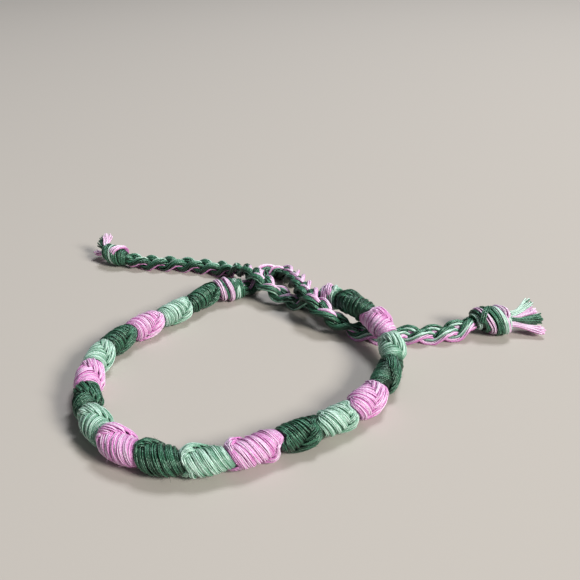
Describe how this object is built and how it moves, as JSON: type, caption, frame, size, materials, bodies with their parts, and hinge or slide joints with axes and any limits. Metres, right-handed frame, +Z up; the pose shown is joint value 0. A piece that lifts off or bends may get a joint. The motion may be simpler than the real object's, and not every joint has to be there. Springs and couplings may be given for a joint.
{
  "type": "woven bracelet",
  "caption": "Knotted cord bracelet of wrapped cotton floss in dark green, pink and mint, with plaited ties, end knots and short tassels, lying loosely tied.",
  "frame": {"origin": "middle of the loop, on the surface that the bracelet lies on", "axes": "+Z up, away from the surface; +X towards the end of the right tie; -Y towards the front of the loop, away from the ties"},
  "size_m": [0.1047, 0.0873, 0.0086],
  "materials": {
    "dark_green_floss": "lustrous mercerised cotton",
    "pink_floss": "lustrous mercerised cotton",
    "mint_floss": "lustrous mercerised cotton",
    "mixed_floss": "lustrous mercerised cotton in dark green, pink and mint"
  },
  "bodies": {
    "root": {"section_01": "dark_green_floss", "section_02": "pink_floss", "section_03": "mint_floss", "section_04": "dark_green_floss", "section_05": "pink_floss", "section_06": "mint_floss", "section_07": "dark_green_floss", "section_08": "pink_floss", "section_09": "mint_floss", "section_10": "dark_green_floss", "section_11": "pink_floss", "section_12": "mint_floss", "section_13": "dark_green_floss", "section_14": "pink_floss", "section_15": "mint_floss", "section_16": "dark_green_floss", "section_17": "pink_floss", "section_18": "mint_floss", "section_19": "dark_green_floss", "core": "mint_floss", "start_knot_left": "mixed_floss", "start_knot_right": "mixed_floss", "tie_left_strand_a": "mixed_floss", "tie_left_strand_b": "mixed_floss", "tie_left_strand_c": "mixed_floss", "tie_right_strand_a": "mixed_floss", "tie_right_strand_b": "mixed_floss", "tie_right_strand_c": "mixed_floss", "end_knot_left": "mixed_floss", "end_knot_right": "mixed_floss", "tassel_left": "mixed_floss", "tassel_right": "mixed_floss"}
  },
  "joints": []
}
